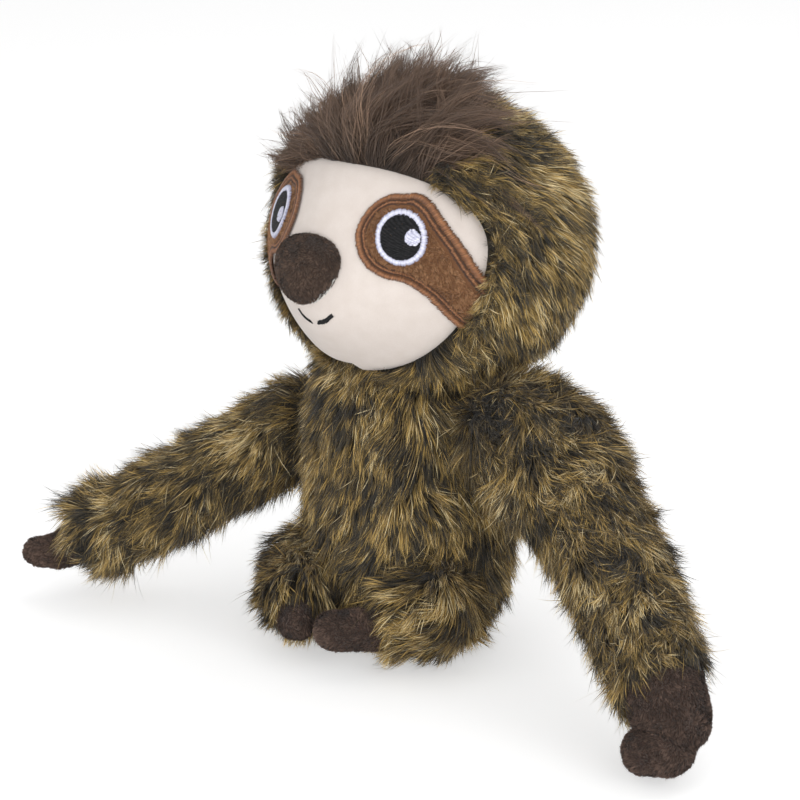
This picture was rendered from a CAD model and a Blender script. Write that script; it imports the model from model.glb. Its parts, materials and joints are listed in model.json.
import json
import math

import bmesh
import bpy
import numpy as np
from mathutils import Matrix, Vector, noise
from mathutils.kdtree import KDTree


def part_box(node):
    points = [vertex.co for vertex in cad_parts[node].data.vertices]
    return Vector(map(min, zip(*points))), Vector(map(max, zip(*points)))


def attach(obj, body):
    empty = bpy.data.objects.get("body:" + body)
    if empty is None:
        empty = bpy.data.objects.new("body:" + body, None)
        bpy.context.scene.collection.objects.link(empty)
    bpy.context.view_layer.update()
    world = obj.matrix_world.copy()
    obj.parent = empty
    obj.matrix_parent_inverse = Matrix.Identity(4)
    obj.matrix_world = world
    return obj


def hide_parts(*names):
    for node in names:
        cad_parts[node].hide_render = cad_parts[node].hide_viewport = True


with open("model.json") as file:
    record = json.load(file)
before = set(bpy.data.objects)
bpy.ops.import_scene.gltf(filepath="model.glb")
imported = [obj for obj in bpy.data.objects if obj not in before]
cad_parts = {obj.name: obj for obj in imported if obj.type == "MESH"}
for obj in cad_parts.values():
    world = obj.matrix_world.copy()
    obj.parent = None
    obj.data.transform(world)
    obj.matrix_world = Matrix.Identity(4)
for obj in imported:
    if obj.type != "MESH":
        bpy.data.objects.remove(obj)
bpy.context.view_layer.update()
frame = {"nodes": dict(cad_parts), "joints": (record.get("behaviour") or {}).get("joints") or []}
joints = {joint["name"]: joint for joint in frame["joints"]}


# Studio. The toy sits on a plain white floor under broad soft light, seen from its left
# front and a little above. The floor and the world look white to the camera only, so
# that no extra light falls on the toy.
camera_place = (0.5718, -0.7337, 0.3777)
camera_aim = (-0.0170, 0.0198, 0.0853)
camera_lens = 117.0
toy_middle = (0.0, 0.0, 0.10)
world_strength = 0.55
floor_half_size = 6.0
floor_shade = 0.80
floor_glow_strength = 0.45
white = (1.0, 1.0, 1.0, 1.0)

camera = bpy.data.objects.new("camera", bpy.data.cameras.new("camera"))
camera.data.lens = camera_lens
camera.location = camera_place
camera.rotation_mode = "QUATERNION"
camera.rotation_quaternion = (Vector(camera_aim) - Vector(camera_place)).to_track_quat("-Z", "Y")
bpy.context.scene.collection.objects.link(camera)
bpy.context.scene.camera = camera
bpy.context.scene.view_settings.view_transform = "Standard"


def soft_lamp(name, place, size, power):
    """A square soft lamp that points at the toy."""
    lamp = bpy.data.objects.new(name, bpy.data.lights.new(name, "AREA"))
    lamp.data.size = size
    lamp.data.energy = power
    lamp.location = place
    lamp.rotation_mode = "QUATERNION"
    lamp.rotation_quaternion = (Vector(toy_middle) - Vector(place)).to_track_quat("-Z", "Y")
    bpy.context.scene.collection.objects.link(lamp)


soft_lamp("key_lamp", (-0.45, -1.25, 0.62), 1.0, 2.8)
soft_lamp("fill_lamp", (1.30, -0.70, 0.60), 1.2, 9.0)
soft_lamp("low_lamp", (0.40, -1.30, 0.10), 0.9, 8.8)
soft_lamp("top_lamp", (0.20, 0.60, 1.50), 1.2, 5.0)


def combined(tree, operation, first, second):
    """The output of a math node over two others."""
    node = tree.nodes.new("ShaderNodeMath")
    node.operation = operation
    tree.links.new(first, node.inputs[0])
    tree.links.new(second, node.inputs[1])
    return node.outputs[0]


def seen_directly(tree):
    """A node output that is 1 for camera, glossy and transmission rays."""
    path = tree.nodes.new("ShaderNodeLightPath")
    total = path.outputs["Is Camera Ray"]
    for ray in ("Is Glossy Ray", "Is Transmission Ray"):
        total = combined(tree, "MAXIMUM", total, path.outputs[ray])
    return total


world = bpy.data.worlds.new("studio")
world.use_nodes = True
bpy.context.scene.world = world
sky = world.node_tree.nodes["Background"]
sky.inputs["Color"].default_value = white
sky_level = world.node_tree.nodes.new("ShaderNodeMapRange")
sky_level.inputs["To Min"].default_value = world_strength
sky_level.inputs["To Max"].default_value = 1.0
world.node_tree.links.new(seen_directly(world.node_tree), sky_level.inputs["Value"])
world.node_tree.links.new(sky_level.outputs[0], sky.inputs["Strength"])

floor_mesh = bpy.data.meshes.new("floor")
floor_mesh.from_pydata([(across * floor_half_size, along * floor_half_size, 0.0)
                        for across, along in ((-1, -1), (1, -1), (1, 1), (-1, 1))], [], [(0, 1, 2, 3)])
floor = bpy.data.objects.new("floor", floor_mesh)
bpy.context.scene.collection.objects.link(floor)
floor_paint = bpy.data.materials.new("floor_paint")
floor_paint.use_nodes = True
floor_tree = floor_paint.node_tree
floor_shader = floor_tree.nodes["Principled BSDF"]
floor_shader.inputs["Base Color"].default_value = (floor_shade, floor_shade, floor_shade, 1.0)
floor_shader.inputs["Roughness"].default_value = 1.0
floor_shader.inputs["Emission Color"].default_value = white
floor_glow = floor_tree.nodes.new("ShaderNodeMath")
floor_glow.operation = "MULTIPLY"
floor_glow.inputs[1].default_value = floor_glow_strength
floor_tree.links.new(seen_directly(floor_tree), floor_glow.inputs[0])
floor_tree.links.new(floor_glow.outputs[0], floor_shader.inputs["Emission Strength"])
floor_mesh.materials.append(floor_paint)


# Body. A bag of long-pile fur fabric over loose polyester stuffing, full at the seat and
# drawn in at the neck. The pile is 12 mm long, combed down, and brindled in tufts of
# charcoal, olive and gold.
body_skin_depth = 0.0052
body_crown_height = 0.1280
body_widest_height = 0.0500
body_fullness = 3.4
pile_length = 0.0118
pile_densities = (3.7e6, 0.24e6)
strand_width = 0.00025
brindle_scale = 75.0
body_pile_angles = (40.0, 5.0)
body_pile_tone = (0.43, 0.33, 0.16)
body_pile_lowest_root = 0.010
clump_sizes = (0.82, 1.15)
fibre_sizes = (0.78, 1.12)
fibre_widths = (0.7, 1.3)
clump_lift_spread = 0.16
fibre_lift_spread = 0.12
most_lift = 0.30
stray_growth = 1.08
stray_lift = 0.10
stray_draw = 0.3
stray_tone = 0.25
floor_clearance = 0.0006
map_half_width = 1.0 / 128.0
largest_piece = 38000


def srgb(red, green, blue):
    """A colour by its screen values, from 0 to 255."""
    shares = [value / 255.0 for value in (red, green, blue)]
    return (*[s / 12.92 if s <= 0.04045 else ((s + 0.055) / 1.055) ** 2.4 for s in shares], 1.0)


def ramp(tree, value, stops):
    """A colour ramp through (place, colour) stops, read at a value, colours from 0 to 255."""
    node = tree.nodes.new("ShaderNodeValToRGB")
    elements = node.color_ramp.elements
    while len(elements) < len(stops):
        elements.new(1.0)
    for element, (place, colour) in zip(elements, stops):
        element.position = place
        element.color = srgb(*colour)
    tree.links.new(value, node.inputs[0])
    return node.outputs[0]


def new_cloth(name, roughness, specular, sheen):
    """A new material, its node tree and its shader, with how it takes the light."""
    cloth = bpy.data.materials.new(name)
    cloth.use_nodes = True
    shader = cloth.node_tree.nodes["Principled BSDF"]
    shader.inputs["Roughness"].default_value = roughness
    shader.inputs["Specular IOR Level"].default_value = specular
    shader.inputs["Sheen Weight"].default_value = sheen
    shader.inputs["Sheen Roughness"].default_value = 0.5
    return cloth, cloth.node_tree, shader


def pile_cloth(name, tones, depths, roughness, sheen, specular=0.3):
    """Fibres whose colour follows each fibre's tone and the place along it."""
    cloth, tree, shader = new_cloth(name, roughness, specular, sheen)
    fibre = tree.nodes.new("ShaderNodeUVMap")
    fibre.uv_map = "OFBake"
    apart = tree.nodes.new("ShaderNodeSeparateXYZ")
    tree.links.new(fibre.outputs[0], apart.inputs[0])
    mix = tree.nodes.new("ShaderNodeMix")
    mix.data_type = "RGBA"
    mix.blend_type = "MULTIPLY"
    mix.inputs["Factor"].default_value = 1.0
    tree.links.new(ramp(tree, apart.outputs["X"], tones), mix.inputs["A"])
    tree.links.new(ramp(tree, apart.outputs["Y"], depths), mix.inputs["B"])
    tree.links.new(mix.outputs["Result"], shader.inputs["Base Color"])
    return cloth


def woven_cloth(name, colour, shade, scale, bump, roughness=0.9, sheen=0.2):
    """A cloth with fine mottling and a nap that the light catches."""
    cloth, tree, shader = new_cloth(name, roughness, 0.2, sheen)
    place = tree.nodes.new("ShaderNodeTexCoord")

    def mottle(fineness, detail, rough):
        """A noise over the cloth."""
        node = tree.nodes.new("ShaderNodeTexNoise")
        node.inputs["Scale"].default_value = fineness
        node.inputs["Detail"].default_value = detail
        node.inputs["Roughness"].default_value = rough
        tree.links.new(place.outputs["Object"], node.inputs["Vector"])
        return node.outputs["Fac"]

    grain = mottle(scale, 6.0, 0.65)
    both = combined(tree, "MULTIPLY", grain, mottle(scale / 14.0, 3.0, 0.5))
    tree.links.new(ramp(tree, both, ((0.12, shade), (0.38, colour))), shader.inputs["Base Color"])
    relief = tree.nodes.new("ShaderNodeBump")
    relief.inputs["Strength"].default_value = bump
    relief.inputs["Distance"].default_value = 0.0004
    tree.links.new(grain, relief.inputs["Height"])
    tree.links.new(relief.outputs["Normal"], shader.inputs["Normal"])
    return cloth


brindled_pile = pile_cloth(
    "brindled_pile",
    ((0.00, (42, 40, 38)), (0.34, (70, 65, 54)), (0.56, (136, 115, 72)),
     (0.80, (208, 174, 100)), (1.00, (244, 228, 186))),
    ((0.00, (88, 86, 84)), (0.36, (142, 139, 134)), (0.68, (248, 245, 238)),
     (1.00, (255, 255, 252))), 0.6, 0.15)
fur_backing = woven_cloth("fur_backing", (52, 46, 36), (26, 24, 20), 900.0, 0.6)


def new_piece(name, mesh, finish, body):
    """Put a mesh in the scene as a piece that rides on a body."""
    piece = bpy.data.objects.new(name, mesh)
    mesh.materials.append(finish)
    mesh.polygons.foreach_set("use_smooth", [True] * len(mesh.polygons))
    bpy.context.scene.collection.objects.link(piece)
    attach(piece, body)
    return piece


def padded_piece(name, mesh, finish, body, node):
    """A stuffed cover or a filling, which stands for a node of the plain model."""
    piece = new_piece(name, mesh, finish, body)
    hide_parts(node)
    return piece


def loft(name, rings):
    """A skin through rings of points, closed at both ends."""
    rings = np.asarray(rings)
    count, sides = rings.shape[:2]
    points = rings.reshape(-1, 3)
    row, column = np.meshgrid(np.arange(count - 1), np.arange(sides), indexing="ij")
    first = row * sides + column
    second = row * sides + (column + 1) % sides
    quads = np.stack((first, second, second + sides, first + sides), -1).reshape(-1, 4)
    faces = quads.tolist() + [list(range(sides))[::-1], list(range((count - 1) * sides, count * sides))]
    mesh = bpy.data.meshes.new(name)
    mesh.from_pydata(points.tolist(), [], faces)
    work = bmesh.new()
    work.from_mesh(mesh)
    bmesh.ops.recalc_face_normals(work, faces=work.faces)
    work.to_mesh(mesh)
    work.free()
    return mesh


def unit(vectors):
    """Vectors brought to length 1."""
    return vectors / np.maximum(np.linalg.norm(vectors, axis=-1, keepdims=True), 1e-9)


def round_turns(count):
    """Angles once round, evenly spaced."""
    return np.linspace(0.0, 2.0 * math.pi, count, endpoint=False)


def scatter(mesh, density, rng, keep=None):
    """Random places on a mesh, even by area, with their smooth normals, where keep allows."""
    mesh.calc_loop_triangles()
    places = np.empty(len(mesh.vertices) * 3)
    mesh.vertices.foreach_get("co", places)
    normals = np.empty(len(mesh.vertices) * 3)
    mesh.vertices.foreach_get("normal", normals)
    corners = np.empty(len(mesh.loop_triangles) * 3, dtype=np.int64)
    mesh.loop_triangles.foreach_get("vertices", corners)
    corners = corners.reshape(-1, 3)
    places = places.reshape(-1, 3)[corners]
    normals = normals.reshape(-1, 3)[corners]
    area = np.linalg.norm(np.cross(places[:, 1] - places[:, 0], places[:, 2] - places[:, 0]), axis=1) / 2
    count = int(area.sum() * density)
    chosen = rng.choice(len(area), count, p=area / area.sum())
    share = rng.random((count, 2))
    share = np.where(share.sum(axis=1, keepdims=True) > 1.0, 1.0 - share, share)
    weights = np.column_stack((1.0 - share.sum(axis=1), share))[:, :, None]
    places = (places[chosen] * weights).sum(axis=1)
    normals = unit((normals[chosen] * weights).sum(axis=1))
    held = np.ones(count, bool) if keep is None else keep(places)
    return places[held], normals[held]


def nearest_of(guides, places):
    """The number of the guide that is nearest to each place."""
    tree = KDTree(len(guides))
    for index, guide in enumerate(guides):
        tree.insert(guide, index)
    tree.balance()
    return np.array([tree.find(place)[1] for place in places])


def map_tones(mesh, tones, across, along):
    """Give the corners of fibres their places on the colour map, by tone and by reach along."""
    along = np.broadcast_to(along, (len(tones), len(along)))
    places = np.stack((tones[:, None] + across, along), axis=-1)
    mesh.uv_layers.new(name="OFBake").data.foreach_set("uv", places.ravel())


def fibre_mesh(name, paths, sides, widths, tones):
    """Flat tapered fibres along paths. Each one's place on the colour map is its tone."""
    count, stations = paths.shape[:2]
    offset = sides[:, :-1] * widths[:, :, None] / 2
    pairs = np.stack((paths[:, :-1] - offset, paths[:, :-1] + offset), axis=2).reshape(count, -1, 3)
    points = np.concatenate((pairs, paths[:, -1:]), axis=1)
    per_fibre = points.shape[1]
    face_corners = []
    for step in range(stations - 2):
        face_corners += [2 * step, 2 * step + 1, 2 * step + 3, 2 * step + 2]
    last = 2 * (stations - 2)
    face_corners += [last, last + 1, last + 2]
    face_corners = np.array(face_corners)
    face_starts = np.append(np.arange(stations - 2) * 4, (stations - 2) * 4)
    corner_count = len(face_corners)
    corners = (np.arange(count)[:, None] * per_fibre + face_corners).ravel()
    starts = (np.arange(count)[:, None] * corner_count + face_starts).ravel()
    mesh = bpy.data.meshes.new(name)
    mesh.vertices.add(count * per_fibre)
    mesh.vertices.foreach_set("co", points.ravel())
    mesh.loops.add(len(corners))
    mesh.loops.foreach_set("vertex_index", corners)
    mesh.polygons.add(len(starts))
    mesh.polygons.foreach_set("loop_start", starts)
    mesh.update(calc_edges=True)
    across = np.where(face_corners % 2 == 0, -map_half_width, map_half_width)
    across = np.where(face_corners == last + 2, 0.0, across)
    map_tones(mesh, tones, across, (face_corners // 2) / (stations - 1))
    return mesh


def swirl_at(places, scale):
    """Smooth random vectors, each part between -1 and 1, that change from place to place."""
    shifts = [Vector(shift) for shift in ((9.3, -1.5, -8.0), (0.0, 0.0, 0.0), (6.3, 11.1, -3.1))]
    return np.array([[noise.noise(Vector(place) * scale + shift) for shift in shifts] for place in places])


def lay_fibres(mesh, comb, rng, densities, length, angles, width, stations=5,
               spread=0.45, draw=0.42, tone=(0.46, 0.30, 0.15), swirl_scale=60.0, curl=0.16,
               stray=0.03, lowest=floor_clearance, keep=None):
    """Paths, sides, widths and tones of fibres on a mesh, drawn together in clumps.

    The densities are those of fibres and of clumps. The fibres leave the mesh at one angle
    and end at another, both in degrees, and comb gives the way they lie. A few stray fibres
    are longer and paler and stand out. The tone is a middle, how much clumps differ from
    it, and how much fibres of a clump do.
    """
    rise, rest = angles
    places, normals = scatter(mesh, densities[0], rng, keep)
    guides, guide_normals = scatter(mesh, densities[1], rng, keep)
    nearest = nearest_of(guides, places)
    swirl = swirl_at(guides, swirl_scale) * 2.0 + rng.normal(0.0, 0.35, guides.shape)
    clump_size = rng.uniform(*clump_sizes, len(guides))
    clump_tone = tone[0] + rng.uniform(-1.0, 1.0, len(guides)) * tone[1]

    def run(roots, out, way, size, lift):
        """Stations of each fibre, from its root to its tip."""
        way = unit(way - (way * out).sum(axis=1, keepdims=True) * out)
        path = [roots]
        for step in range(stations - 1):
            share = (step + 0.5) / (stations - 1)
            angle = math.radians(rise + (rest - rise) * share) + lift[:, None]
            ahead = out * np.sin(angle) + way * np.cos(angle)
            path.append(path[-1] + ahead * (size / (stations - 1))[:, None])
        return np.stack(path, axis=1)

    guide_way = comb(guides) + swirl * spread
    guide_lift = rng.normal(0.0, clump_lift_spread, len(guides))
    guide_path = run(guides, guide_normals, guide_way, length * clump_size, guide_lift)
    way = comb(places) + swirl[nearest] * spread + rng.normal(0.0, 0.12, places.shape)
    size = length * clump_size[nearest] * rng.uniform(*fibre_sizes, len(places))
    strays = rng.random(len(places)) < stray
    size = size * np.where(strays, stray_growth, 1.0)
    lift = guide_lift[nearest] + rng.normal(0.0, fibre_lift_spread, len(places))
    lift = np.minimum(lift, most_lift) + strays * stray_lift
    paths = run(places, normals, way, size, lift)
    shares = np.linspace(0.0, 1.0, stations)
    pull = guide_path[nearest, -1] + (places - guides[nearest]) * 0.30 - paths[:, -1]
    pull = pull * np.where(strays, stray_draw, 1.0)[:, None]
    paths = paths + pull[:, None] * (shares ** 1.6 * draw)[None, :, None]
    bow = swirl[nearest] * 0.6 + np.clip(rng.normal(0.0, 0.5, places.shape), -1.0, 1.0)
    bow = bow * (size * curl)[:, None]
    paths = paths + bow[:, None] * (shares ** 2.0 * (1.0 + 0.8 * strays[:, None]))[:, :, None]
    paths[..., 2] = np.maximum(paths[..., 2], lowest)
    ahead = unit(np.gradient(paths, axis=1))
    flat = unit(np.cross(ahead, normals[:, None]))
    roll = rng.normal(0.0, 0.6, len(places))[:, None, None]
    sides = flat * np.cos(roll) + np.cross(ahead, flat) * np.sin(roll)
    taper = np.interp(np.linspace(0.0, 1.0, stations)[:-1], (0.0, 0.5, 1.0), (0.85, 1.0, 0.3))
    widths = width * rng.uniform(*fibre_widths, (len(places), 1)) * taper
    broad = np.array([noise.noise(Vector(guide) * brindle_scale) for guide in guides]) * 0.35
    tones = (clump_tone + broad)[nearest] + rng.normal(0.0, tone[2], len(places)) + strays * stray_tone
    tones = np.clip(tones, 0.02, 0.98)
    return paths, sides, widths, tones


def coat(name, body, finish, fibres, along=2):
    """Fibres as pieces of a size that is easy to handle, split along one axis."""
    paths, sides, widths, tones = fibres
    order = np.argsort(paths[:, 0, along], kind="stable")
    made = []
    for number, part in enumerate(np.array_split(order, math.ceil(len(order) / largest_piece)), 1):
        mesh = fibre_mesh(f"{name}_{number}", paths[part], sides[part], widths[part], tones[part])
        made.append(new_piece(mesh.name, mesh, finish, body))
    return made


body_low, body_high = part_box("body_fur_cover")
body_radius = (body_high.x - body_low.x) / 2 - body_skin_depth
body_middle = (body_high.y + body_low.y) / 2


def round_rings(profile, middle_y, sides=72):
    """Level rings of (radius, height) about an upright axis."""
    turns = round_turns(sides)
    return [np.stack((np.cos(turns) * radius, middle_y + np.sin(turns) * radius,
                      np.full(sides, height)), axis=1) for radius, height in profile]


def body_side(steps=44):
    """The body's side from crown to seat."""
    side = []
    for angle in np.linspace(0.02, math.pi - 0.02, steps):
        across = abs(math.sin(angle)) ** (2.0 / body_fullness) * body_radius
        along = abs(math.cos(angle)) ** (2.0 / body_fullness)
        rise = body_crown_height - body_widest_height - body_skin_depth
        drop = body_widest_height - body_skin_depth * 0.35
        side.append((across, body_widest_height + (along * rise if angle < math.pi / 2 else -along * drop)))
    return side


def body_comb(places):
    """The body's pile lies down, and a little outwards where the body swells."""
    way = np.tile((0.0, -0.15, -1.0), (len(places), 1))
    way[:, 0] += places[:, 0] * 4.0
    return way


body_rng = np.random.default_rng(11)
body_skin = padded_piece("body_skin", loft("body_skin", round_rings(body_side(), body_middle)),
                         fur_backing, "body", "body_fur_cover")
body_fibres = lay_fibres(body_skin.data, body_comb, body_rng, pile_densities, pile_length,
                         body_pile_angles, strand_width, tone=body_pile_tone, swirl_scale=brindle_scale,
                         keep=lambda places: places[:, 2] > body_pile_lowest_root)
coat("body_pile", "body", brindled_pile, body_fibres)


# Head. A hood of the same fur fabric over a stuffed ball, with an opening in front where
# the smooth face is sewn in. The pile is combed back from the face, then down. The cheek
# on the toy's right is stuffed a little less than the other.
cheek_inset = np.array((0.0041, 0.0004, 0.0017))
hood_skin_inset = 0.0008
head_filling_inset = 0.0050
head_pile_angles = (36.0, 3.0)
head_pile_tone = (0.50, 0.33, 0.16)
hood_overhang = 0.0018
hair_middle_x = -0.0048
hair_half_width = 0.0358
hair_front = -0.0400
hair_back = 0.0220
hair_low_share = 0.42
hair_low_tilt = 0.12
fringe_densities = (7.0e6, 0.48e6)
fringe_angles = (78.0, 20.0)
fringe_length = 0.0070
fringe_strand_width = 0.00020
fringe_overhang = 0.0016
fringe_depth = 0.0038
muzzle_height = 0.1430
cheek_slack = 0.0060
cheek_slack_width = 0.0220
cheek_slack_fade = 0.0250
face_seam_half_width = 0.0528
face_seam_widest = 0.1570
face_seam_rise = 0.0330
face_seam_drop = 0.0465
face_seam_rise_fullness = 2.3
face_seam_drop_fullness = 1.85

neck_place = joints["neck_turn"]["pos_m"]
hood_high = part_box("head_fur_hood")[1]
head_middle = np.array((0.0, neck_place[1], (neck_place[2] + hood_high.z) / 2))
head_radii = np.array((hood_high.x, hood_high.y - head_middle[1], hood_high.z - head_middle[2]))
face_radii = head_radii - cheek_inset


def inside_seam(across, up, grow=0.0):
    """Whether places seen from the front lie inside the face seam."""
    upper = up >= face_seam_widest
    reach = np.where(upper, face_seam_rise, face_seam_drop) + grow
    power = np.where(upper, face_seam_rise_fullness, face_seam_drop_fullness)
    wide = (np.abs(across) / (face_seam_half_width + grow)) ** power
    return wide + (np.abs(up - face_seam_widest) / reach) ** power < 1.0


def slacken(places):
    """Push the front of the right cheek back, where it holds less stuffing."""
    moved = np.array(places)
    across = np.minimum(moved[..., 0], 0.0) / cheek_slack_width
    front = np.clip((head_middle[1] - moved[..., 1]) / cheek_slack_fade, 0.0, 1.0)
    moved[..., 1] += cheek_slack * (1.0 - np.exp(-across ** 2)) * front
    return moved


def on_hood(places, grow=-hood_overhang):
    """Whether places lie on the fur hood and not in its face opening."""
    return (places[:, 1] > head_middle[1]) | ~inside_seam(places[:, 0], places[:, 2], grow)


def ball_rings(middle, radii, rings=48, sides=96):
    """Level rings of an ellipsoid, top to bottom."""
    turns = round_turns(sides)
    return [np.stack((middle[0] + radii[0] * math.sin(tilt) * np.cos(turns),
                      middle[1] + radii[1] * math.sin(tilt) * np.sin(turns),
                      np.full(sides, middle[2] + radii[2] * math.cos(tilt))), axis=1)
            for tilt in np.linspace(0.02, math.pi - 0.02, rings)]


def hair_side(places):
    """Whether places lie in the outline of the hair."""
    across = np.abs(places[:, 0] - hair_middle_x) / hair_half_width
    along = np.clip((places[:, 1] - hair_front) / (hair_back - hair_front), 0.0, None)
    edge = head_middle[2] + head_radii[2] * hair_low_share + places[:, 0] * hair_low_tilt
    return (across ** 2.5 + along ** 2.5 < 1.0) & (places[:, 2] > edge)


def in_hair(places):
    """Whether places on the hood carry the long hair, and not the pile."""
    return hair_side(places) & on_hood(places)


def fringe_comb(places):
    """The fringe leans in over the edge of the face."""
    way = np.array((0.0, 0.0, muzzle_height)) - places
    way[:, 1] = 0.0
    return unit(way) + np.array((0.0, 0.0, -0.35))


def head_comb(places):
    """The head's pile lies back from the face and down."""
    from_face = unit(places - (head_middle + np.array((0.0, -head_radii[1] * 1.2, head_radii[2] * 0.5))))
    return from_face + np.array((0.0, 0.0, -1.5))


head_rng = np.random.default_rng(23)
hood_rings = slacken(ball_rings(head_middle, face_radii - hood_skin_inset))
head_skin = padded_piece("head_hood_skin", loft("head_hood_skin", hood_rings), fur_backing, "head",
                         "head_fur_hood")
head_fibres = lay_fibres(head_skin.data, head_comb, head_rng, pile_densities, pile_length,
                         head_pile_angles, strand_width, tone=head_pile_tone, swirl_scale=brindle_scale,
                         keep=lambda places: on_hood(places) & ~hair_side(places))
coat("head_pile", "head", brindled_pile, head_fibres)
fringe_fibres = lay_fibres(head_skin.data, fringe_comb, head_rng, fringe_densities, fringe_length,
                           fringe_angles, fringe_strand_width, spread=0.75, curl=0.30,
                           keep=lambda places: on_hood(places, -fringe_overhang)
                           & ~on_hood(places, fringe_depth) & ~hair_side(places))
coat("seam_fringe", "head", brindled_pile, fringe_fibres)
fibre_fill = woven_cloth("fibre_fill", (236, 236, 232), (205, 205, 200), 420.0, 0.9, 1.0, 0.4)
filling_rings = slacken(ball_rings(head_middle, face_radii - head_filling_inset))
padded_piece("head_filling", loft("head_filling", filling_rings), fibre_fill, "head",
             "head_stuffing")


# Face. One panel of short-napped cream velour, stuffed out into a soft muzzle and sewn
# into the hood along its edge. A small step in the seam lies under the chin.
muzzle_reach = 0.0070
muzzle_half_width = 0.0260
muzzle_half_height = 0.0240
chin_step = 0.0036
chin_step_x = 0.0040
chin_step_reach = 0.0320
face_middle = (0.0, 0.1500)
face_seam_reach = 0.0012
face_flat_rings = 34
face_roll_drops = (-0.0002, -0.0007, -0.0016, -0.0032)
least_room = 0.004


def face_point(across, up, lift=0.0):
    """Places on the face, lifted off it along its normal."""
    across, up = np.broadcast_arrays(np.asarray(across, float), np.asarray(up, float))

    def depth(x, z):
        """The face's front, as a Y for each place seen from the front."""
        room = 1.0 - (x / face_radii[0]) ** 2 - ((z - head_middle[2]) / face_radii[2]) ** 2
        bulge = np.exp(-(x / muzzle_half_width) ** 2 - ((z - muzzle_height) / muzzle_half_height) ** 2)
        front = head_middle[1] - face_radii[1] * np.sqrt(np.maximum(room, least_room))
        front = slacken(np.stack((x, front, z), axis=-1))[..., 1]
        return front - muzzle_reach * bulge

    step = 0.0002
    front = depth(across, up)
    slope_x = (depth(across + step, up) - depth(across - step, up)) / (2 * step)
    slope_z = (depth(across, up + step) - depth(across, up - step)) / (2 * step)
    normal = unit(np.stack((slope_x, -np.ones_like(front), slope_z), axis=-1))
    return np.stack((across, front, up), axis=-1) + normal * np.asarray(lift)[..., None], normal


def oval(middle_x, middle_z, half_width, half_height, count):
    """Points round an oval, seen from the front."""
    turns = round_turns(count)
    return np.stack((middle_x + np.cos(turns) * half_width, middle_z + np.sin(turns) * half_height), axis=1)


def seam_outline(grow, count=160):
    """Points round the face seam."""
    outline = []
    for turn in round_turns(count):
        upper = math.sin(turn) >= 0.0
        power = 2.0 / (face_seam_rise_fullness if upper else face_seam_drop_fullness)
        across = math.copysign(abs(math.cos(turn)) ** power, math.cos(turn)) * (face_seam_half_width + grow)
        reach = (face_seam_rise if upper else face_seam_drop) + grow
        up = face_seam_widest + math.copysign(abs(math.sin(turn)) ** power, math.sin(turn)) * reach
        if not upper and across < chin_step_x:
            up += chin_step * math.exp(-((across - chin_step_x) / chin_step_reach) ** 2)
        outline.append((across, up))
    return np.array(outline)


def face_layer(name, outline, middle, lifts):
    """A layer on the face from the middle of an outline to its edge, lifted as given."""
    outline = np.asarray(outline)
    rings = [face_point(*(middle + (outline - middle) * share).T, lift)[0]
             for share, lift in zip(np.linspace(0.01, 1.0, len(lifts)), lifts)]
    return loft(name, rings)


face_cloth = woven_cloth("face_velour", (221, 211, 204), (214, 203, 195), 2600.0, 0.18, 0.95, 0.25)
seam_roll = np.concatenate((np.zeros(face_flat_rings), face_roll_drops))
face_mesh = face_layer("face_panel_velour", seam_outline(face_seam_reach), np.array(face_middle), seam_roll)
padded_piece("face_panel_velour", face_mesh, face_cloth, "head", "face_panel")


# Eye patches. Brown short-napped velour laid on the face, edged with two rows of satin
# stitch in rust thread with a darker line between them, and running under the hood.
eye_places = {"left": (0.0288, 0.1668), "right": (-0.0288, 0.1668)}
patch_width = 0.0500
patch_height = 0.0500
patch_lift = 0.0010
patch_outline_shares = (
    (-0.06, 0.28), (0.03, 0.28), (0.13, 0.21), (0.23, 0.09), (0.32, -0.03), (0.39, -0.16),
    (0.48, -0.36), (0.62, -0.72), (0.48, -0.98), (0.32, -0.70), (0.21, -0.47), (0.14, -0.37),
    (0.05, -0.30), (-0.06, -0.27), (-0.17, -0.20), (-0.25, -0.09), (-0.29, 0.05), (-0.25, 0.19),
    (-0.16, 0.27))
outer_row_lift_and_arch = (-0.0002, 0.0009)
inner_row_lift_and_arch = (0.0, 0.0006)
dark_line_lift_and_arch = (0.0001, 0.0002)
outer_row_width = 0.0021
row_space = 0.0001
inner_row_width = 0.0009
dark_line_width = 0.0004
row_overlap = 0.0001
border_width = 0.0038
stitch_spacing = 0.00034
stitch_slant = 0.00010
stitch_raggedness = 0.00012
thread_width = 0.00042
patch_cell = 0.0006
patch_cloth_inset = 0.0008
patch_nap_densities = (11.0e6, 0.8e6)
patch_nap_length = 0.0013
patch_nap_angles = (38.0, 12.0)
patch_nap_width = 0.00022

patch_nap = pile_cloth(
    "patch_nap", ((0.0, (120, 80, 50)), (0.5, (156, 111, 75)), (1.0, (192, 148, 108))),
    ((0.0, (170, 168, 165)), (1.0, (255, 255, 255))), 0.8, 0.2)
patch_cloth = woven_cloth("patch_cloth", (124, 86, 58), (98, 66, 44), 1800.0, 0.5)
rust_thread = pile_cloth(
    "rust_thread", ((0.0, (104, 64, 34)), (0.5, (142, 91, 52)), (1.0, (178, 124, 78))),
    ((0.0, (150, 140, 130)), (0.5, (255, 255, 255)), (1.0, (150, 140, 130))), 0.42, 0.1, 0.5)
dark_thread = pile_cloth(
    "dark_thread", ((0.0, (54, 32, 20)), (1.0, (84, 52, 32))),
    ((0.0, (200, 200, 200)), (1.0, (255, 255, 255))), 0.5, 0.1, 0.4)


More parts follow.
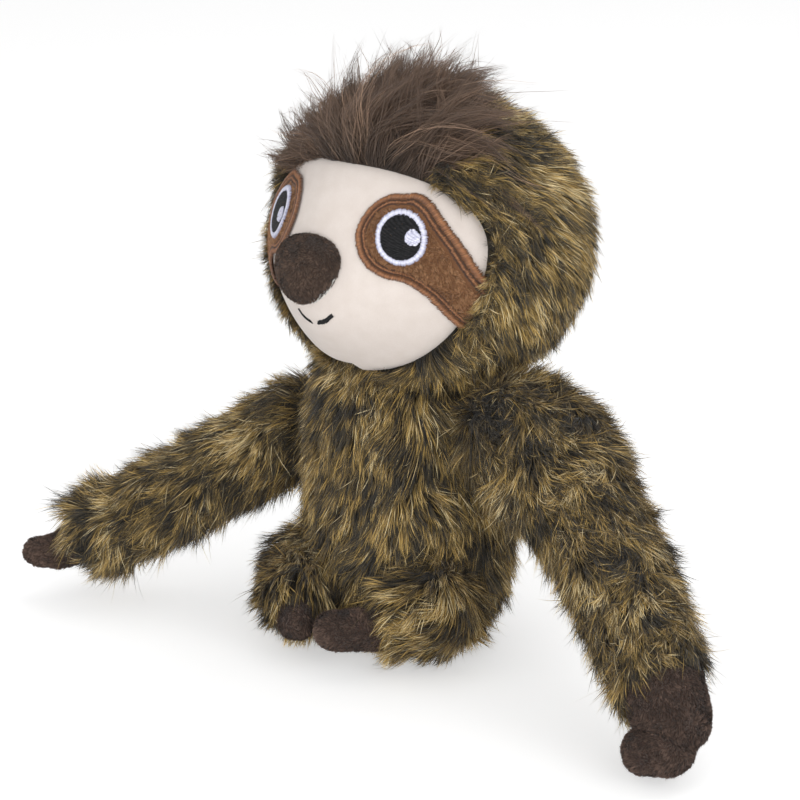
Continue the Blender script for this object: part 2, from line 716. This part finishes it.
def closed_curve(corners, count):
    """A smooth closed curve through corners, as evenly spaced points."""
    corners = np.asarray(corners)
    shares = np.linspace(0.0, 1.0, 24, endpoint=False)[:, None]
    points = []
    for i in range(len(corners)):
        before, start, end, after = (corners[(i + k) % len(corners)] for k in (-1, 0, 1, 2))
        points.append(0.5 * (2.0 * start + (end - before) * shares
                             + (2.0 * before - 5.0 * start + 4.0 * end - after) * shares ** 2
                             + (3.0 * start - before - 3.0 * end + after) * shares ** 3))
    points = np.concatenate(points)
    closed = np.vstack((points, points[:1]))
    run = np.concatenate(([0.0], np.cumsum(np.linalg.norm(np.diff(closed, axis=0), axis=1))))
    at = np.linspace(0.0, run[-1], count, endpoint=False)
    return np.stack([np.interp(at, run, closed[:, axis]) for axis in (0, 1)], axis=1)


def inwards(outline):
    """The way in from each point of a counter-clockwise outline."""
    ahead = unit(np.roll(outline, -1, axis=0) - np.roll(outline, 1, axis=0))
    return np.stack((-ahead[:, 1], ahead[:, 0]), axis=1)


def inside_outline(places, outline):
    """Whether flat places lie inside an outline."""
    start, end = outline[None], np.roll(outline, -1, axis=0)[None]
    x, z = places[:, None, 0], places[:, None, 1]
    crosses = (start[..., 1] > z) != (end[..., 1] > z)
    slope = (end[..., 0] - start[..., 0]) / np.where(end[..., 1] == start[..., 1], 1.0,
                                                    end[..., 1] - start[..., 1])
    return (crosses & (x < start[..., 0] + (z - start[..., 1]) * slope)).sum(axis=1) % 2 == 1


def thread_mesh(name, starts, ends, ups, width, arch, tones, stations=6):
    """Short raised threads from starts to ends, each a ridge of two strips."""
    count = len(starts)
    shares = np.linspace(0.0, 1.0, stations)
    middle = starts[:, None] + (ends - starts)[:, None] * shares[None, :, None]
    swell = np.sqrt(np.maximum(4.0 * shares * (1.0 - shares), 0.0))
    middle = middle + ups[:, None] * (swell * arch)[None, :, None]
    side = unit(np.cross(ends - starts, ups))[:, None] * (width * (0.55 + 0.45 * swell))[None, :, None] / 2
    drop = ups[:, None] * width * 0.45
    points = np.stack((middle - side - drop, middle, middle + side - drop), axis=2).reshape(-1, 3)
    row, column = np.meshgrid(np.arange(stations - 1), np.arange(2), indexing="ij")
    first = (row * 3 + column).ravel()
    quads = np.stack((first, first + 1, first + 4, first + 3), axis=1)
    faces = (np.arange(count)[:, None, None] * stations * 3 + quads[None]).reshape(-1, 4)
    mesh = bpy.data.meshes.new(name)
    mesh.from_pydata(points.tolist(), [], faces.tolist())
    local = quads.ravel()
    map_tones(mesh, tones, (local % 3 - 1) * map_half_width, (local // 3) / (stations - 1))
    return mesh


def satin_row(name, finish, outer, inner, lift, arch, rng, keep=None):
    """A row of satin stitches laid side by side between two outlines on the face."""
    ahead = unit(np.roll(outer, -1, axis=0) - outer)
    slant = rng.normal(0.0, stitch_slant, (len(outer), 1)) * ahead
    ragged = unit(inner - outer) * rng.normal(0.0, stitch_raggedness, (len(outer), 1))
    outer, inner = outer + slant + ragged, inner - slant + ragged * 0.6
    held = np.ones(len(outer), bool) if keep is None else keep((outer + inner) / 2)
    starts = face_point(*outer[held].T, lift)[0]
    ends, ups = face_point(*inner[held].T, lift)
    tones = np.clip(rng.normal(0.5, 0.16, len(starts)), 0.02, 0.98)
    mesh = thread_mesh(name, starts, ends, ups, thread_width, arch, tones)
    return new_piece(name, mesh, finish, "head")


def seam_side(places):
    """Whether flat places lie inside the face seam."""
    return inside_seam(places[:, 0], places[:, 1], -0.0004)


def grid_on_face(name, outline, lift):
    """A layer on the face made of small cells inside an outline."""
    low, high = outline.min(axis=0), outline.max(axis=0)
    columns = np.arange(low[0], high[0] + patch_cell, patch_cell)
    rows = np.arange(low[1], high[1] + patch_cell, patch_cell)
    across, up = np.meshgrid(columns, rows)
    points = face_point(across.ravel(), up.ravel(), lift)[0]
    row, column = np.meshgrid(np.arange(len(rows) - 1), np.arange(len(columns) - 1), indexing="ij")
    first = (row * len(columns) + column).ravel()
    quads = np.stack((first, first + 1, first + len(columns) + 1, first + len(columns)), axis=1)
    flat = np.stack((across.ravel(), up.ravel()), axis=1)
    middle = flat[quads].mean(axis=1)
    quads = quads[inside_outline(middle, outline) & seam_side(middle)]
    mesh = bpy.data.meshes.new(name)
    mesh.from_pydata(points.tolist(), [], quads.tolist())
    work = bmesh.new()
    work.from_mesh(mesh)
    bmesh.ops.delete(work, geom=[vertex for vertex in work.verts if not vertex.link_faces], context="VERTS")
    work.to_mesh(mesh)
    work.free()
    return mesh


def patch_comb(places):
    """The nap of the patches lies down and outwards."""
    return np.stack((np.sign(places[:, 0]) * 0.7, np.zeros(len(places)), np.full(len(places), -0.7)), axis=1)


for side, sign in (("left", 1.0), ("right", -1.0)):
    rng = np.random.default_rng(31 if sign > 0 else 32)
    eye_x, eye_z = eye_places[side]
    corners = [(eye_x + sign * across * patch_width, eye_z + up * patch_height)
               for across, up in patch_outline_shares]
    corners = corners[::-1] if sign > 0 else corners
    rough = closed_curve(corners, 400)
    edge_length = np.linalg.norm(np.diff(np.vstack((rough, rough[:1])), axis=0), axis=1).sum()
    outline = closed_curve(corners, int(edge_length / stitch_spacing))
    way_in = inwards(outline)
    velour_mesh = grid_on_face(side + "_eye_patch_velour", outline + way_in * patch_cloth_inset, patch_lift)
    velour = new_piece(side + "_eye_patch_velour", velour_mesh, patch_cloth, "head")
    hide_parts(side + "_eye_patch")
    nap_edge = outline + way_in * border_width
    nap = lay_fibres(velour.data, patch_comb, rng, patch_nap_densities, patch_nap_length, patch_nap_angles,
                     patch_nap_width, stations=3, spread=0.9, draw=0.35, tone=(0.5, 0.26, 0.12),
                     swirl_scale=220.0,
                     keep=lambda places: inside_outline(places[:, (0, 2)], nap_edge))
    coat(side + "_eye_patch_nap", "head", patch_nap, nap)
    outer_end = outline + way_in * outer_row_width
    line_end = outer_end + way_in * dark_line_width
    inner_start = line_end - way_in * row_space
    inner_end = inner_start + way_in * inner_row_width
    line_start = inner_start + way_in * (inner_row_width - row_overlap)
    edge_end = inner_start + way_in * (inner_row_width + dark_line_width)
    rows = (("outer_row", rust_thread, outline, outer_end, outer_row_lift_and_arch),
            ("dark_line", dark_thread, outer_end - way_in * row_overlap, line_end, dark_line_lift_and_arch),
            ("inner_row", rust_thread, inner_start, inner_end, inner_row_lift_and_arch),
            ("inner_line", dark_thread, line_start, edge_end, dark_line_lift_and_arch))
    for name, thread, start, end, (lift, arch) in rows:
        row = satin_row(f"{side}_patch_{name}", thread, start, end, patch_lift + lift,
                        arch, rng, seam_side)
        if name == "outer_row":
            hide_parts(side + "_eye_patch_border")


# Eyes. Embroidered on the patches: a ring of white satin stitch, a pupil filled with
# rows of black stitches, and a white glint sewn over its outer edge.
eye_half_width = 0.0075
eye_half_height = 0.0092
pupil_half_width = 0.0059
pupil_half_height = 0.0073
eye_lean_share = 0.22
glint_half_width = 0.0022
glint_half_height = 0.0025
glint_offset = 0.0035
eye_height_over_patch = 0.0006
pupil_height_over_eye = 0.0003
glint_height_over_eye = 0.0008
pupil_margin = 0.0002
pupil_ground_margin = 0.0004
ring_overlap = 0.0003
ring_arch = 0.0007
ring_spacing_share = 0.8
fill_stitch_length = 0.0016
fill_row_share = 0.82
fill_jitter = 0.00006
fill_arch = 0.00022
fill_fullness = 1.35
glint_fullness = 2.0

white_thread = pile_cloth(
    "white_thread", ((0.0, (196, 196, 220)), (0.5, (226, 226, 240)), (1.0, (246, 246, 252))),
    ((0.0, (190, 190, 205)), (0.5, (255, 255, 255)), (1.0, (190, 190, 205))), 0.4, 0.1, 0.5)
black_thread = pile_cloth(
    "black_thread", ((0.0, (18, 18, 20)), (1.0, (42, 42, 44))),
    ((0.0, (120, 120, 120)), (0.5, (255, 255, 255)), (1.0, (120, 120, 120))), 0.6, 0.0, 0.2)
black_ground = woven_cloth("black_ground", (30, 30, 32), (16, 16, 18), 2400.0, 0.4)


def leaning(places, middle, lean):
    """Places about a middle, whose top leans to one side."""
    leant = np.array(places)
    leant[:, 0] += (leant[:, 1] - middle[1]) * lean
    return leant


def fill_stitches(name, finish, middle, half_width, half_height, lift, rng, lean, fullness):
    """A leaning oval filled with staggered rows of short level stitches."""
    rows = np.arange(-half_height, half_height, thread_width * fill_row_share)
    starts, ends = [], []
    for number, up in enumerate(rows):
        reach = half_width * math.sqrt(max(1.0 - (up / half_height) ** 2, 0.0))
        at = -reach - fill_stitch_length * (number % 3) / 3.0
        while at < reach:
            left, right = max(at, -reach), min(at + fill_stitch_length, reach)
            if right - left > thread_width:
                starts.append((middle[0] + left, middle[1] + up))
                ends.append((middle[0] + right, middle[1] + up))
            at += fill_stitch_length
    starts, ends = leaning(starts, middle, lean), leaning(ends, middle, lean)
    jitter = rng.normal(0.0, fill_jitter, starts.shape)
    first = face_point(*(starts + jitter).T, lift)[0]
    last, ups = face_point(*(ends + jitter).T, lift)
    tones = np.clip(rng.normal(0.5, 0.2, len(starts)), 0.02, 0.98)
    mesh = thread_mesh(name, first, last, ups, thread_width * fullness, fill_arch, tones, 4)
    return new_piece(name, mesh, finish, "head")


for side, sign in (("left", 1.0), ("right", -1.0)):
    rng = np.random.default_rng(41 if sign > 0 else 42)
    eye_x, eye_z = eye_places[side]
    eye_lift = patch_lift + eye_height_over_patch
    lean = -sign * eye_lean_share
    middle = np.array((eye_x, eye_z))
    ring_girth = 2.0 * math.pi * (eye_half_width + eye_half_height) / 2
    ring_count = int(ring_girth / (stitch_spacing * ring_spacing_share))

    def pupil_edge(margin, count):
        """The pupil's outline, grown by a margin."""
        edge = oval(*middle, pupil_half_width + margin, pupil_half_height + margin, count)
        return leaning(edge, middle, lean)

    ring = satin_row(side + "_eye_white_stitches", white_thread,
                     leaning(oval(*middle, eye_half_width, eye_half_height, ring_count), middle, lean),
                     pupil_edge(-ring_overlap, ring_count), eye_lift, ring_arch, rng)
    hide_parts(side + "_eye_white")
    ground_edge = pupil_edge(pupil_ground_margin, 64)
    ground_mesh = face_layer(side + "_pupil_ground", ground_edge, middle, np.full(10, eye_lift))
    new_piece(side + "_pupil_ground", ground_mesh, black_ground, "head")
    pupil = fill_stitches(side + "_pupil_stitches", black_thread, middle,
                          pupil_half_width + pupil_margin, pupil_half_height + pupil_margin,
                          eye_lift + pupil_height_over_eye, rng, lean, fill_fullness)
    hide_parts(side + "_pupil")
    glint = fill_stitches(side + "_glint_stitches", white_thread,
                          middle + np.array((glint_offset, 0.0)), glint_half_width, glint_half_height,
                          eye_lift + glint_height_over_eye, rng, lean, glint_fullness)
    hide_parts(side + "_eye_glint")


# Nose. A small cushion of dark brown velour, gathered over stuffing and sewn on above
# the mouth. It is a rounded triangle, wider above.
nose_middle_x = -0.0008
nose_middle_z = 0.1540
nose_half_width = 0.0119
nose_half_height = 0.0113
nose_reach = 0.0098
nose_taper_share = 0.25
nose_nap_densities = (10.0e6, 1.0e6)
nose_nap_length = 0.0011
nose_nap_angles = (55.0, 20.0)
nose_nap_width = 0.00024

nose_nap = pile_cloth(
    "nose_nap", ((0.0, (56, 43, 36)), (0.5, (86, 68, 57)), (1.0, (120, 98, 84))),
    ((0.0, (150, 148, 145)), (1.0, (255, 255, 255))), 0.8, 0.15)
nose_cloth = woven_cloth("nose_cloth", (72, 56, 47), (50, 38, 32), 1600.0, 0.5)


def nose_rings(rings=22, sides=64):
    """Rings of the nose from its sewn edge to its front."""
    made = []
    turns = round_turns(sides)
    for tilt in np.linspace(-0.35, math.pi / 2 - 0.02, rings):
        reach = math.cos(tilt)
        wide = nose_half_width * (1.0 + nose_taper_share * np.sin(turns))
        across = nose_middle_x + np.cos(turns) * wide * reach
        up = nose_middle_z + np.sin(turns) * nose_half_height * reach
        made.append(face_point(across, up, math.sin(tilt) * nose_reach)[0])
    return made


def nose_comb(places):
    """The nap of the nose lies down."""
    return np.tile((0.0, 0.0, -1.0), (len(places), 1))


nose_skin = padded_piece("nose_velour_skin", loft("nose_velour_skin", nose_rings()), nose_cloth, "head",
                         "nose_cover")
nose_fibres = lay_fibres(nose_skin.data, nose_comb, np.random.default_rng(51), nose_nap_densities,
                         nose_nap_length, nose_nap_angles, nose_nap_width, stations=3, spread=0.8,
                         draw=0.3, tone=(0.45, 0.22, 0.12), swirl_scale=200.0)
coat("nose_nap", "head", nose_nap, nose_fibres)


# Mouth. Two short upturned runs of black satin stitch, one on each side of the middle.
mouth_height = 0.1338
mouth_half_widths = {"left": 0.0088, "right": 0.0070}
mouth_split = 0.0013
mouth_lift = 0.0042
mouth_row_widths = {"left": 0.0019, "right": 0.0012}
mouth_stitch_count = 30

for side, sign in (("left", 1.0), ("right", -1.0)):
    shares = np.linspace(0.0, 1.0, mouth_stitch_count)
    across = sign * (mouth_split + (mouth_half_widths[side] - mouth_split) * shares)
    low = np.stack((across, mouth_height + mouth_lift * shares ** 2), axis=1)
    width = mouth_row_widths[side] * np.sqrt(np.maximum(1.0 - (2.0 * shares - 1.0) ** 8, 0.10))
    high = low + np.stack((np.zeros(mouth_stitch_count), width), axis=1)
    run = satin_row(side + "_mouth_thread", black_thread, low, high, 0.0001, 0.0004,
                    np.random.default_rng(61 if sign > 0 else 62))
    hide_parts(side + "_mouth_stitches")


# Hair. A patch of long straight brown pile sewn into the seam above the face, brushed up
# and back so that it stands in loose pointed locks. The highest tips are pressed down a
# little, so that the toy keeps its height.
hair_length = 0.0305
hair_strand_width = 0.00019
hair_highest = 0.2376
hair_trim_depth = 0.0060
fan_places = (-0.0330, -0.0140, 0.0060, 0.0260)
fan_ways = ((-1.00, -0.72, 0.00, 0.16), (0.02, 0.20, 0.55, 1.00), (-0.25, 0.45, 1.00, 0.55))
fan_hooks = ((0.12, 0.30, 0.36, 0.24), (0.00, 0.00, 0.05, 0.12), (0.50, 0.30, -0.12, -0.20))
lock_stations = 11
lock_aim_spread = 0.30
lock_rise_spread = 0.12
lock_sizes = (0.80, 1.14)
lock_back_bend = 0.16
lock_down_bend = 0.10
lock_turns = (4.0, 8.0)
fibre_reaches = (0.70, 1.05)
fibre_looseness = (0.0014, 0.0010)
thick_lock_densities = (7.2e6, 0.150e6)
thick_lock_curl = 0.26
thick_lock_wave = 0.10
thick_lock_gather = 0.34
thick_lock_tone = 0.38
wisp_densities = (0.90e6, 0.100e6)
wisp_length = hair_length * 1.04
wisp_curl = 0.42
wisp_wave = 0.18
wisp_gather = 0.16
wisp_tone = 0.62

hair_fibre = pile_cloth(
    "hair_fibre", ((0.0, (70, 56, 48)), (0.55, (112, 92, 78)), (0.85, (158, 131, 111)),
                   (1.0, (196, 166, 142))),
    ((0.0, (135, 132, 128)), (0.4, (225, 222, 218)), (1.0, (255, 250, 245))), 0.5, 0.1, 0.3)


def hair_way(places, normals):
    """How the hair is brushed: up in the middle, out over the right, back over the left."""
    way = np.stack([np.interp(places[:, 0], fan_places, values) for values in fan_ways], axis=1)
    return unit(way - (way * normals).sum(axis=1, keepdims=True) * normals)


def hair_rise(places):
    """How steeply the hair leaves the hood, as an angle."""
    along = np.interp(places[:, 1], (hair_front, -0.0200, 0.0, hair_back), (30.0, 42.0, 48.0, 30.0))
    return np.radians(along * np.interp(places[:, 0], fan_places, (0.42, 0.50, 1.0, 0.60)))


def hair_growth(places):
    """The hair is longest at the front seam, above the middle of the face."""
    along = np.interp(places[:, 1], (hair_front, -0.0200, 0.0, hair_back), (1.0, 0.88, 0.66, 0.56))
    return along * np.interp(places[:, 0], fan_places, (0.50, 0.54, 1.04, 0.92))


def lay_locks(mesh, rng, densities, length, curl, wave, gather, tone):
    """Fibres that run together into curved, pointed locks, by densities of fibres and locks."""
    roots, normals = scatter(mesh, densities[0], rng, in_hair)
    heads, head_normals = scatter(mesh, densities[1], rng, in_hair)
    lock = nearest_of(heads, roots)
    way = unit(hair_way(heads, head_normals) + rng.normal(0.0, lock_aim_spread, heads.shape))
    rise = hair_rise(heads) + rng.normal(0.0, lock_rise_spread, len(heads))
    size = length * hair_growth(heads) * rng.uniform(*lock_sizes, len(heads))
    start = head_normals * np.sin(rise)[:, None] + way * np.cos(rise)[:, None]
    aside = unit(np.cross(start, head_normals))
    bend = way * lock_back_bend - head_normals * lock_down_bend
    bend = bend + aside * rng.normal(0.0, curl * 1.4, (len(heads), 1))
    hook = aside * rng.normal(0.0, curl, (len(heads), 1))
    hook = hook + head_normals * rng.normal(0.0, curl, (len(heads), 1))
    hook = hook + np.stack([np.interp(heads[:, 0], fan_places, values) for values in fan_hooks], axis=1)
    reach = rng.uniform(*fibre_reaches, len(roots))
    shares = np.linspace(0.0, 1.0, lock_stations)[None, :, None] * reach[:, None, None]
    spine = start[lock][:, None] * shares + bend[lock][:, None] * shares ** 2
    spine = spine + hook[lock][:, None] * shares ** 3
    phase = rng.uniform(0.0, 2.0 * math.pi, len(heads))[lock][:, None, None]
    turns = rng.uniform(*lock_turns, len(heads))[lock][:, None, None] * shares
    swing = aside[lock][:, None] * np.sin(phase + turns) + head_normals[lock][:, None] * np.cos(phase + turns)
    spine = spine + swing * shares * wave
    keep_apart = gather * rng.uniform(0.5, 1.8, len(roots))
    still_apart = np.maximum(1.0 - shares, 0.0) ** 0.8
    apart = still_apart * (1.0 - keep_apart[:, None, None]) + keep_apart[:, None, None]
    loose = rng.normal(0.0, fibre_looseness[0], (len(roots), 1, 3)) * np.sin(shares * math.pi)
    loose = loose + rng.normal(0.0, fibre_looseness[1], (len(roots), 1, 3)) * np.sin(shares * math.pi * 2.3)
    gathered = heads[lock][:, None] + (roots - heads[lock])[:, None] * apart
    paths = gathered + spine * size[lock][:, None, None] + loose
    over = np.maximum(paths[..., 2] - hair_highest + hair_trim_depth, 0.0)
    paths[..., 2] -= over - hair_trim_depth * (1.0 - np.exp(-over / hair_trim_depth))
    ahead = unit(np.gradient(paths, axis=1))
    sides = unit(np.cross(ahead, normals[:, None] + rng.normal(0.0, 0.5, (len(roots), 1, 3))))
    taper = np.interp(np.linspace(0.0, 1.0, lock_stations)[:-1], (0.0, 0.6, 1.0), (1.0, 0.9, 0.3))
    widths = hair_strand_width * rng.uniform(*fibre_widths, (len(roots), 1)) * taper
    tones = (tone + rng.normal(0.0, 0.12, len(heads)))[lock] + rng.normal(0.0, 0.12, len(roots))
    return paths, sides, widths, np.clip(tones, 0.02, 0.98)


hair_rng = np.random.default_rng(71)
thick_locks = lay_locks(head_skin.data, hair_rng, thick_lock_densities, hair_length, thick_lock_curl,
                        thick_lock_wave, thick_lock_gather, thick_lock_tone)
loose_wisps = lay_locks(head_skin.data, hair_rng, wisp_densities, wisp_length, wisp_curl, wisp_wave,
                        wisp_gather, wisp_tone)
hair_fibres = [np.concatenate(both) for both in zip(thick_locks, loose_wisps)]
hair_pieces = coat("hair_lock", "head", hair_fibre, hair_fibres, along=0)
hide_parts("hair_tuft")


# Arms. Long sleeves of the fur fabric, loosely stuffed, sewn into the body at the
# shoulder. The pile is combed towards the hands.
arm_bends = {"left": (0.0915, -0.0090, 0.0790), "right": (-0.0820, -0.0230, 0.0475)}
shoulder_radii = {"left": 0.0250, "right": 0.0205}
shoulder_drops = {"left": 0.0, "right": 0.0040}
arm_cuff_radius = 0.0196
arm_pile_length = 0.0102
arm_pile_densities = (4.6e6, 0.312e6)
arm_strand_width = 0.00022
arm_pile_angles = (38.0, 3.0)
arm_pile_tone = (0.43, 0.38, 0.18)
arm_pile_fall = 0.3
limb_skin_depth = 0.0052
arm_filling_share = 0.80
cuff_pile_setbacks = {"left": 0.0045, "right": -0.0020}
filling_end_rings = 5
upper_fullness = {"left": 0.20, "right": 0.0}
upper_full_place_share = 0.22
upper_full_width_share = 0.20
cuff_slants = {"left": (0.20, 0.16, 0.0), "right": (0.0, 0.0, 0.0)}


def bent_path(start, bend, end, steps):
    """Points and headings along the curve from start to end that the bend pulls aside."""
    start, bend, end = (np.array(place, float) for place in (start, bend, end))
    shares = np.linspace(0.0, 1.0, steps)[:, None]
    points = start * (1 - shares) ** 2 + bend * 2 * shares * (1 - shares) + end * shares ** 2
    return points, unit((bend - start) * (1 - shares) + (end - bend) * shares)


def tube_rings(points, headings, radii, sides=56):
    """Rings square to a path, without twist."""
    reference = unit(np.cross(headings[0], (0.0, 0.0, 1.0)))
    turns = round_turns(sides)
    rings = []
    for point, heading, radius in zip(points, headings, radii):
        reference = unit(reference - heading * reference.dot(heading))
        other = np.cross(heading, reference)
        rings.append(point + radius * (np.cos(turns)[:, None] * reference + np.sin(turns)[:, None] * other))
    return rings


def rounded_limb(start, bend, end, start_radius, end_radius, steps=36, shape=None, end_round=1.0):
    """Rings of a limb with a round root and a round or flatter end."""
    points, headings = bent_path(start, bend, end, steps)
    radii = np.linspace(start_radius, end_radius, steps)
    if shape is not None:
        radii = radii * shape(np.linspace(0.0, 1.0, steps))
    caps = np.linspace(-math.pi / 2 + 0.05, 0.0, 10)[:-1]
    first = [(points[0] + headings[0] * math.sin(tilt) * start_radius, headings[0],
              math.cos(tilt) * start_radius) for tilt in caps]
    last = [(points[-1] - headings[-1] * math.sin(tilt) * end_radius * end_round, headings[-1],
             math.cos(tilt) * end_radius) for tilt in caps[::-1]]
    stations = first + list(zip(points, headings, radii)) + last
    return tube_rings(*zip(*stations))


def filling_piece(name, body, node, rings, share):
    """Loose stuffing inside a cover, a share of its skin's thickness."""
    rings = np.array(rings)[filling_end_rings:-filling_end_rings]
    middles = rings.mean(axis=1, keepdims=True)
    mesh = loft(name, middles + (rings - middles) * share)
    padded_piece(name, mesh, fibre_fill, body, node)


def limb_skin(side, limb, rings, filling_share):
    """A sleeve's backing cloth and the stuffing in it."""
    name = f"{side}_{limb}"
    skin = padded_piece(name + "_skin", loft(name + "_skin", rings), fur_backing, name,
                        name + "_cover")
    filling_piece(name + "_filling", name, name + "_stuffing", rings, filling_share)
    return skin


def comb_along(path, headings, fall, root_way=(0.0, 0.0, 0.0), end_way=(0.0, 0.0, 0.0), reach=1.0):
    """A comb that follows a limb's path and falls a little, and is drawn aside past its ends."""
    def comb(places):
        nearest = ((places[:, None] - path[None]) ** 2).sum(axis=2).argmin(axis=1)
        before = np.clip((path[0] - places) @ headings[0] / reach, 0.0, 1.0)[:, None]
        beyond = np.clip((places - path[-1]) @ headings[-1] / reach, 0.0, 1.0)[:, None]
        way = headings[nearest] - np.array((0.0, 0.0, fall))
        return way + before * np.array(root_way) + beyond * np.array(end_way)
    return comb


def upper_arm_shape(full):
    """A sleeve's thickness along it: full where it leaves the body."""
    def shape(shares):
        return 1.0 + full * np.exp(-((shares - upper_full_place_share) / upper_full_width_share) ** 2)
    return shape


for side in ("left", "right"):
    shoulder = np.array(joints[side + "_shoulder"]["pos_m"]) - (0.0, 0.0, shoulder_drops[side])
    wrist = joints[side + "_wrist"]["pos_m"]
    rings = rounded_limb(shoulder, arm_bends[side], wrist, shoulder_radii[side] - limb_skin_depth,
                         arm_cuff_radius - limb_skin_depth, shape=upper_arm_shape(upper_fullness[side]),
                         end_round=0.2)
    skin = limb_skin(side, "arm", rings, arm_filling_share)
    path, headings = bent_path(shoulder, arm_bends[side], wrist, 30)
    wrist_at, hand_way = path[-1], headings[-1]
    cuff_way = hand_way + np.array(cuff_slants[side])
    fibres = lay_fibres(skin.data, comb_along(path, headings, arm_pile_fall),
                        np.random.default_rng(81 + len(side)), arm_pile_densities, arm_pile_length,
                        arm_pile_angles, arm_strand_width, spread=0.48, tone=arm_pile_tone,
                        swirl_scale=105.0, curl=0.36, stray=0.015,
                        keep=lambda places: (places - wrist_at) @ cuff_way < -cuff_pile_setbacks[side])
    coat(side + "_arm_pile", side + "_arm", brindled_pile, fibres, along=0)


# Hands. Mitts of dark brown fleece with a claw that curls in, stuffed and sewn into the
# sleeves. The nap is short and dense.
hand_bends = {"left": (0.1580, -0.0500, 0.0120), "right": (-0.1290, -0.0560, 0.0190)}
claw_tips = {"left": (0.1470, -0.0563, 0.0120), "right": (-0.1378, -0.0590, 0.0184)}
palm_radii = {"left": 0.0134, "right": 0.0086}
claw_radii = {"left": 0.0080, "right": 0.0050}
crease_depths = {"left": 0.23, "right": 0.04}
crease_place_share = 0.54
crease_width_share = 0.085
palm_swell = 0.08
fleece_nap_length = 0.0015
fleece_nap_densities = (9.0e6, 0.8e6)
fleece_nap_angles = (62.0, 25.0)
fleece_nap_width = 0.00028
fleece_filling_share = 0.76
lump_depth = 0.0012
lump_scale = 90.0

fleece_nap = pile_cloth(
    "fleece_nap", ((0.0, (64, 50, 43)), (0.5, (96, 77, 67)), (1.0, (138, 113, 100))),
    ((0.0, (140, 138, 135)), (1.0, (255, 255, 255))), 0.85, 0.15)
fleece_cloth = woven_cloth("fleece_cloth", (78, 61, 53), (54, 41, 36), 1300.0, 0.6)


def fleece_piece(name, rings, path, headings, seed):
    """A stuffed fleece piece with its nap, a little lumpy as loose stuffing makes it."""
    mesh = loft(name + "_skin", rings)
    for vertex in mesh.vertices:
        vertex.co += vertex.normal * (noise.noise(vertex.co * lump_scale) * lump_depth)
    skin = padded_piece(name + "_skin", mesh, fleece_cloth, name, name + "_cover")
    nap = lay_fibres(skin.data, comb_along(path, headings, 0.1), np.random.default_rng(seed),
                     fleece_nap_densities, fleece_nap_length, fleece_nap_angles, fleece_nap_width,
                     stations=3, spread=0.9, draw=0.35, tone=(0.45, 0.2, 0.12), swirl_scale=180.0)
    coat(name + "_nap", name, fleece_nap, nap)
    filling_piece(name + "_filling", name, name + "_stuffing", rings, fleece_filling_share)


def palm_shape(crease):
    """A mitt's thickness along it: a little full at the palm, creased where the claw bends."""
    def shape(shares):
        fold = np.exp(-((shares - crease_place_share) / crease_width_share) ** 2)
        return 1.0 + palm_swell * np.sin(shares * math.pi) - crease * fold
    return shape


for seed, side in ((91, "left"), (92, "right")):
    wrist = joints[side + "_wrist"]["pos_m"]
    path, headings = bent_path(wrist, hand_bends[side], claw_tips[side], 30)
    rings = rounded_limb(wrist, hand_bends[side], claw_tips[side], palm_radii[side], claw_radii[side],
                         shape=palm_shape(crease_depths[side]))
    fleece_piece(side + "_hand", rings, path, headings, seed)


# Legs. Short thick sleeves of the fur fabric, sewn into the front of the seat. The long
# pile hangs over the feet.
hip_radius = 0.0195
leg_cuff_radii = {"left": 0.0165, "right": 0.0152}
leg_cuff_lifts = {"left": 0.0, "right": 0.0025}
leg_pile_length = 0.0128
leg_cuff_setbacks = {"left": 0.0100, "right": -0.0015}
leg_cuff_reach = 0.0040
leg_root_ways = {"left": (1.2, -0.9, -0.6), "right": (-1.2, -0.9, -0.6)}
leg_end_way = (0.0, 0.0, -1.8)
leg_end_reach = 0.0040
leg_falls = {"left": 0.10, "right": 0.30}
leg_pile_lowest = 0.0045
leg_pile_angles = (42.0, 6.0)
leg_pile_tone = (0.52, 0.35, 0.17)
leg_filling_share = 0.75

for seed, side in ((101, "left"), (102, "right")):
    hip = np.array(joints[side + "_hip"]["pos_m"])
    ankle = np.array(joints[side + "_ankle"]["pos_m"])
    cuff = ankle - unit(ankle - hip) * leg_cuff_setbacks[side]
    cuff[2] += leg_cuff_lifts[side]
    middle = (hip + cuff) / 2
    rings = rounded_limb(hip, middle, cuff, hip_radius - limb_skin_depth,
                         leg_cuff_radii[side] - limb_skin_depth, end_round=0.3)
    skin = limb_skin(side, "leg", rings, leg_filling_share)
    path, headings = bent_path(hip, middle, cuff, 20)
    foot_way = headings[-1]
    leg_comb = comb_along(path, headings, leg_falls[side], leg_root_ways[side], leg_end_way, leg_end_reach)
    fibres = lay_fibres(skin.data, leg_comb, np.random.default_rng(seed), pile_densities, leg_pile_length,
                        leg_pile_angles, strand_width, tone=leg_pile_tone, swirl_scale=80.0,
                        lowest=leg_pile_lowest,
                        keep=lambda places: (places - cuff) @ foot_way < leg_cuff_reach)
    coat(side + "_leg_pile", side + "_leg", brindled_pile, fibres, along=0)


# Feet. Small round pads of the same fleece as the hands, sewn into the legs.
toes = {"left": (0.0078, -0.0517, 0.0192), "right": (-0.0104, -0.0505, 0.0180)}
ankle_drop = 0.0030
ankle_radius = 0.0068
toe_radius = 0.0064
foot_height_share = 1.06

for seed, side in ((111, "left"), (112, "right")):
    ankle = np.array(joints[side + "_ankle"]["pos_m"]) - (0.0, 0.0, ankle_drop)
    middle = (ankle + np.array(toes[side])) / 2
    path, headings = bent_path(ankle, middle, toes[side], 20)
    rings = np.array(rounded_limb(ankle, middle, toes[side], ankle_radius, toe_radius))
    rings[..., 2] = ankle[2] + (rings[..., 2] - ankle[2]) * foot_height_share
    fleece_piece(side + "_foot", rings, path, headings, seed)


# Stuffing. Loose white polyester fibre, which fills every cover and doesn't show.
for name, node in frame["nodes"].items():
    if name.endswith("_stuffing"):
        node.data.materials.clear()
        node.data.materials.append(fibre_fill)
